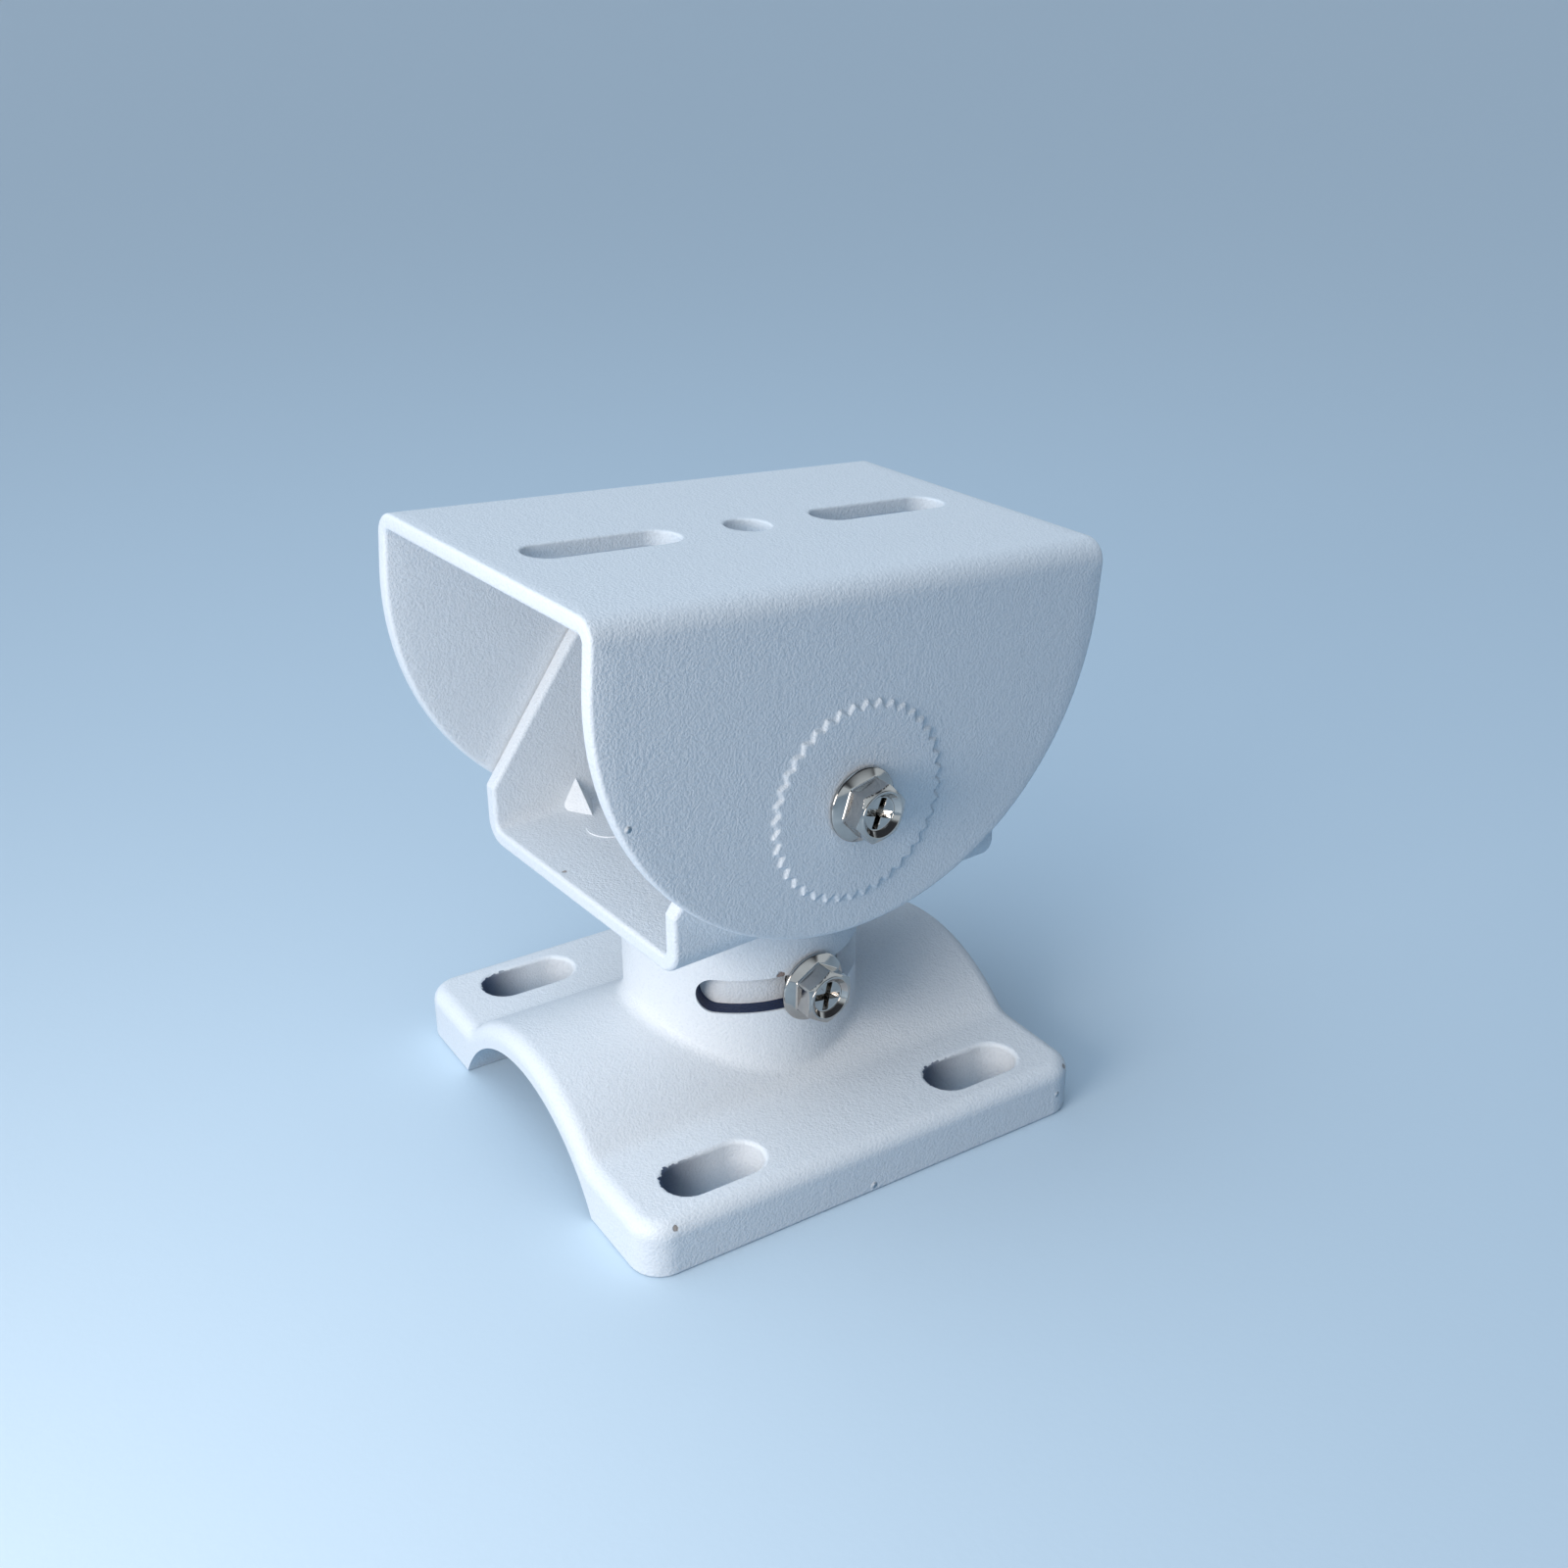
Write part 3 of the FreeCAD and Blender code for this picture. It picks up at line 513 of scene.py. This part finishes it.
def rows_of(profile, angles):
    """The radii, one for each angle, and the heights of a profile of pairs, whose radii are numbers or
    already vary round the axis."""
    radii = np.array([np.broadcast_to(radius, angles.shape) for radius, _ in profile])
    return radii, np.array([height for _, height in profile])


def rounded(radius, height, reach, rise, first, last, count):
    """Points of a profile round an ellipse about a radius and a height, which reaches this far outwards
    and upwards, from the first angle to the last in degrees."""
    turns = np.radians(np.linspace(first, last, count))
    return [(radius + reach * np.cos(turn), height + rise * np.sin(turn)) for turn in turns]


def hexagon(angles):
    """The radius of a hexagon with a corner at angle 0: half the width across flats over the cosine of the
    turn from the nearest flat's middle, cut off where its corners are rounded."""
    turn = (angles + np.pi / 6) % (np.pi / 3) - np.pi / 6
    return np.minimum(across_flats / 2 / np.cos(np.abs(turn) - np.pi / 6), hexagon_corner)


def cross(angles, span, wing):
    """The radius of a cross of four wings, one of them at angle 0: out to the wing's flat end, or to its
    side, half its width over the sine of the turn from its middle."""
    turn = np.abs((angles + np.pi / 4) % (np.pi / 2) - np.pi / 4)
    return np.minimum(span / 2 / np.cos(turn), wing / 2 / np.maximum(np.sin(turn), 1e-6))


thread_radius = 2.5
thread_pitch = 0.8
thread_depth = 0.46
screw_length = 12.0
point_chamfer = 0.75
flange_radius = 5.75
flange_lip = 0.28
flange_relief = 0.2
across_flats = 8.0
head_height = 5.0
head_columns = 240
hexagon_corner = 4.52
crown_radius = 3.65
crown_edge = 0.16
dish_radius = 3.3
dish_depth = 0.9
dish_floor_radius = 2.65
recess_span = 4.8
recess_wing = 1.05
recess_depth = 1.9


def thread_radii(angles, heights, outside, depth):
    """The radius of a thread: round, less a depth that runs down and up once each pitch along the axis
    and once round, with flat crests and roots."""
    turn = (heights[:, None] / thread_pitch + angles / (2 * np.pi)) % 1
    return outside - depth * np.clip(2.4 * np.abs(2 * turn - 1) - 0.7, 0, 1)


def shank():
    """The threaded shank, from its point up into the head: the thread's radius, cut back at the point by a
    cone that widens as it rises."""
    angles = np.linspace(0, 2 * np.pi, 64, endpoint=False)
    heights = np.arange(-screw_length + 0.1, 0.5, thread_pitch / 9)
    cone = thread_radius - point_chamfer + (heights + screw_length)[:, None]
    radii = np.minimum(thread_radii(angles, heights, thread_radius, thread_depth), cone)
    points = turned(radii, heights, angles)
    faces = grid_faces(len(heights), len(angles))
    points = np.vstack([points, [[0, 0, heights[0]], [0, 0, heights[-1]]]])
    faces += cap_faces(len(angles), 0, len(points) - 2, False)
    faces += cap_faces(len(angles), (len(heights) - 1) * len(angles), len(points) - 1, True)
    return points, faces


def screw_head(recess_turn):
    """The flange, hexagon, dished crown and cross recess as rows from the seat up and into the recess:
    the hexagon's corners are turned away by a cone towards the crown. The recess is struck at its own
    angle from a corner."""
    angles = np.linspace(0, 2 * np.pi, head_columns, endpoint=False)
    flats = hexagon(angles)
    struck = angles - np.radians(recess_turn)
    chamfer_top = head_height - 0.14
    dish_floor = head_height - dish_depth
    profile = [(thread_radius * 0.9, 0.02), (flange_radius - flange_relief, 0.0)]
    profile += rounded(flange_radius - flange_lip, 0.4, flange_lip, 0.36, -90, 75, 9)
    profile += [(flats + 0.32, 1.34), (flats + 0.12, 1.42), (flats, 1.62)]
    profile += [(flats, height) for height in np.linspace(1.9, 4.15, 4)]
    profile += [(np.minimum(flats, crown_radius + 0.1 + 1.9 * (chamfer_top - height)), height)
                for height in np.linspace(4.2, chamfer_top, 9)]
    profile += rounded(crown_radius - 0.1, head_height - crown_edge, 0.2, crown_edge, 15, 90, 5)
    profile += rounded(dish_radius + 0.12, head_height - crown_edge, -0.12, crown_edge, 90, 30, 4)
    profile += rounded(dish_floor_radius - 0.22, dish_floor + 0.18, 0.22, -0.18, 0, 90, 6)
    recess_edge = cross(struck, recess_span, recess_wing)
    profile += [(np.minimum(dish_floor_radius - 0.24, recess_edge + 0.1), dish_floor)]
    profile += [(cross(struck, recess_span * (1 - 0.5 * share), recess_wing * (1 - 0.3 * share)),
                 dish_floor - 0.05 - recess_depth * share) for share in np.linspace(0, 1, 7)]
    profile += [(cross(struck, recess_span * 0.3, recess_wing * 0.6), dish_floor - recess_depth - 0.25)]
    radii, heights = rows_of(profile, angles)
    points = np.vstack([turned(radii, heights, angles), [[0, 0, heights[-1] - 0.2], [0, 0, heights[0]]]])
    faces = grid_faces(len(heights), len(angles))
    faces += cap_faces(len(angles), (len(heights) - 1) * len(angles), len(points) - 2, True)
    faces += cap_faces(len(angles), 0, len(points) - 1, False)
    return points, faces


upward = Vector((0, 0, 1))
pivot_screw_turn = 11.5
pivot_recess_turn = -32.5
lock_screw_turn = 28.0
lock_recess_turn = -39.5


def fasten(name, form, side, reach, height, turn, body):
    """A screw or nut made at its seat and put in its place: its axis along the pivot, side -1 to the
    front and 1 to the rear, its seat at a reach from the middle."""
    points, faces = form
    outward = across * side
    along = across.cross(upward)
    spin = Matrix.Rotation(np.radians(turn), 3, "Z")
    axes = Matrix((along, upward * -side, outward)).transposed() @ spin
    seat = outward * reach + upward * height
    placed = points * mm @ np.array(axes).T + np.array(seat)
    piece = solid_piece(name, placed, faces, nickel, sharp_angle=32)
    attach(piece, body)
    return piece


def reach_of(node, side):
    """The nearest and farthest distance of a CAD node from the middle, along its own side of the pivot."""
    corners = np.empty(len(nodes[node].data.vertices) * 3)
    nodes[node].data.vertices.foreach_get("co", corners)
    along = corners.reshape(-1, 3) @ np.array(across * side)
    return along.min(), along.max()


for side_name, side in (("front", -1), ("rear", 1)):
    for kind, turn, recess_turn in (("pivot_screw_", pivot_screw_turn, pivot_recess_turn),
                                    ("lock_screw_", lock_screw_turn, lock_recess_turn)):
        screw_form = joined(shank(), screw_head(recess_turn))
        node = kind + side_name
        low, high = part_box(node)
        middle = (low.z + high.z) / 2
        seat = reach_of(node, side)[1] - head_height * mm
        screw = fasten(node + "_dressed", screw_form, side, seat, middle, turn, "yoke")
        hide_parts(node)

# The pivot nuts: nickel-plated hexagon flange nuts, seated on the inside of the yoke's ears.
nut_height = 5.0
nut_columns = 144
nut_thread_depth = 0.3


def nut_form():
    """The nut as rows that run out under the flange, up the hexagon, in over the chamfered top and back
    down the thread."""
    angles = np.linspace(0, 2 * np.pi, nut_columns, endpoint=False)
    flats = hexagon(angles)
    chamfer_top = nut_height - 0.1
    profile = [(thread_radius + 0.35, 0.0), (flange_radius - flange_relief, 0.0)]
    profile += rounded(flange_radius - flange_lip, 0.45, flange_lip, 0.41, -90, 75, 9)
    profile += [(flats + 0.3, 1.42), (flats + 0.1, 1.5), (flats, 1.7)]
    profile += [(flats, height) for height in np.linspace(2.0, 4.1, 4)]
    profile += [(np.minimum(flats, crown_radius + 0.1 + 1.4 * (chamfer_top - height)), height)
                for height in np.linspace(4.15, chamfer_top, 9)]
    profile += [(crown_radius, nut_height), (thread_radius + 0.45, nut_height),
                (thread_radius + 0.3, nut_height - 0.05)]
    radii, heights = rows_of(profile, angles)
    bore_heights = np.arange(nut_height - 0.4, 0.35, -thread_pitch / 8)
    bore = thread_radii(angles, bore_heights, thread_radius + 0.08, nut_thread_depth)
    heights = np.concatenate([heights, bore_heights])
    points = turned(np.vstack([radii, bore]), heights, angles)
    return points, grid_faces(len(heights), len(angles), round_rows=True)


for side_name, side in (("front", -1), ("rear", 1)):
    node = "pivot_nut_" + side_name
    low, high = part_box(node)
    seat = reach_of(node, side)[1]
    nut = fasten(node + "_dressed", nut_form(), -side, -seat, (low.z + high.z) / 2, 0, "yoke")
    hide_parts(node)

# The table that the bracket stands on, the light and the camera. The table and the walls are paler where
# they are seen, straight on or in metal, than in the light that they give back. The ceiling is dark.
table_seen = (0.63, 0.75, 0.84, 1)
table_gives = (0.19, 0.36, 0.52, 1)
wall_seen = (0.72, 0.82, 0.90, 1)
ceiling_seen = (0.045, 0.05, 0.06, 1)
room_dark = (0.012, 0.02, 0.035, 1)
room_bright = (0.76, 0.90, 1.06, 1)
table_half = 12.0
bright_side = (-0.74, 0.10, 0.66)


def seen_share(finish, kinds):
    """1 for the kinds of rays by which a surface is seen, and 0 for the light that it gives."""
    rays = [finish.add("LightPath", output=kind) for kind in kinds]
    share = rays[0]
    for ray in rays[1:]:
        share = share.at_least(ray)
    return share


seen_rays = ("Is Camera Ray", "Is Glossy Ray", "Is Transmission Ray")
table = Finish("pale_table")
seen = seen_share(table, seen_rays)
tint = table.blend(seen, table_gives, table_seen)
table_material = table.close(table.noise(1 * mm), 0.02 * mm, Base_Color=tint, Roughness=0.7)
corners = np.array([[-1, -1, 0], [1, -1, 0], [1, 1, 0], [-1, 1, 0]]) * table_half
floor = solid_piece("table_top", corners, [[0, 1, 2, 3]], table_material, sharp_angle=30)

room = Finish("soft_room", bpy.data.worlds.new("soft_room"))
bpy.context.scene.world = room.owner
direction = room.add("TexCoord", output="Generated")
toward = room.add("VectorMath", {"operation": "DOT_PRODUCT"},
                  {"Vector": direction, "Vector_001": bright_side}, "Value")
room_light = room.blend(room.fade(toward, -0.2, 0.95), room_dark, room_bright)
steepness = room.add("SeparateXYZ", None, {"Vector": direction}, "Z")
room_seen = room.blend(room.fade(steepness, 0.22, 0.50), wall_seen, ceiling_seen)
sky = room.blend(seen_share(room, seen_rays), room_light, room_seen)
room.add("OutputWorld", None, {"Surface": room.add("Background", None, {"Color": sky, "Strength": 1.0})})


def softbox(name, place, aim, size, power, colour):
    """A square lamp of a size, its place and the point that it is aimed at in millimetres."""
    lamp = bpy.data.lights.new(name, "AREA")
    lamp.size = size * mm
    lamp.energy = power
    lamp.color = colour
    item = bpy.data.objects.new(name, lamp)
    item.location = Vector(place) * mm
    item.rotation_euler = (Vector(place) - Vector(aim)).to_track_quat("Z", "Y").to_euler()
    bpy.context.scene.collection.objects.link(item)


softbox("key_lamp", (-270, -112, 130), (0, 0, 45), 130, 0.45, (1.0, 0.93, 0.87))
softbox("top_lamp", (-60, 60, 600), (0, 0, 40), 500, 0.75, (0.69, 0.90, 1.12))

camera_place = (-127.8, -212.3, 171.2)
camera_azimuth = -32.755
camera_elevation = 25.566
camera_data = bpy.data.cameras.new("camera")
camera_data.lens = 40.1
camera_data.sensor_width = 36.0
camera_data.clip_start = 0.01
camera_data.clip_end = 100
camera = bpy.data.objects.new("camera", camera_data)
azimuth, elevation = np.radians(camera_azimuth), np.radians(camera_elevation)
camera.location = Vector(camera_place) * mm
back = Vector((np.sin(azimuth) * np.cos(elevation), -np.cos(azimuth) * np.cos(elevation), np.sin(elevation)))
camera.rotation_mode = "QUATERNION"
camera.rotation_quaternion = (-back).to_track_quat("-Z", "Y")
bpy.context.scene.collection.objects.link(camera)
bpy.context.scene.camera = camera
bpy.context.scene.view_settings.view_transform = "Standard"
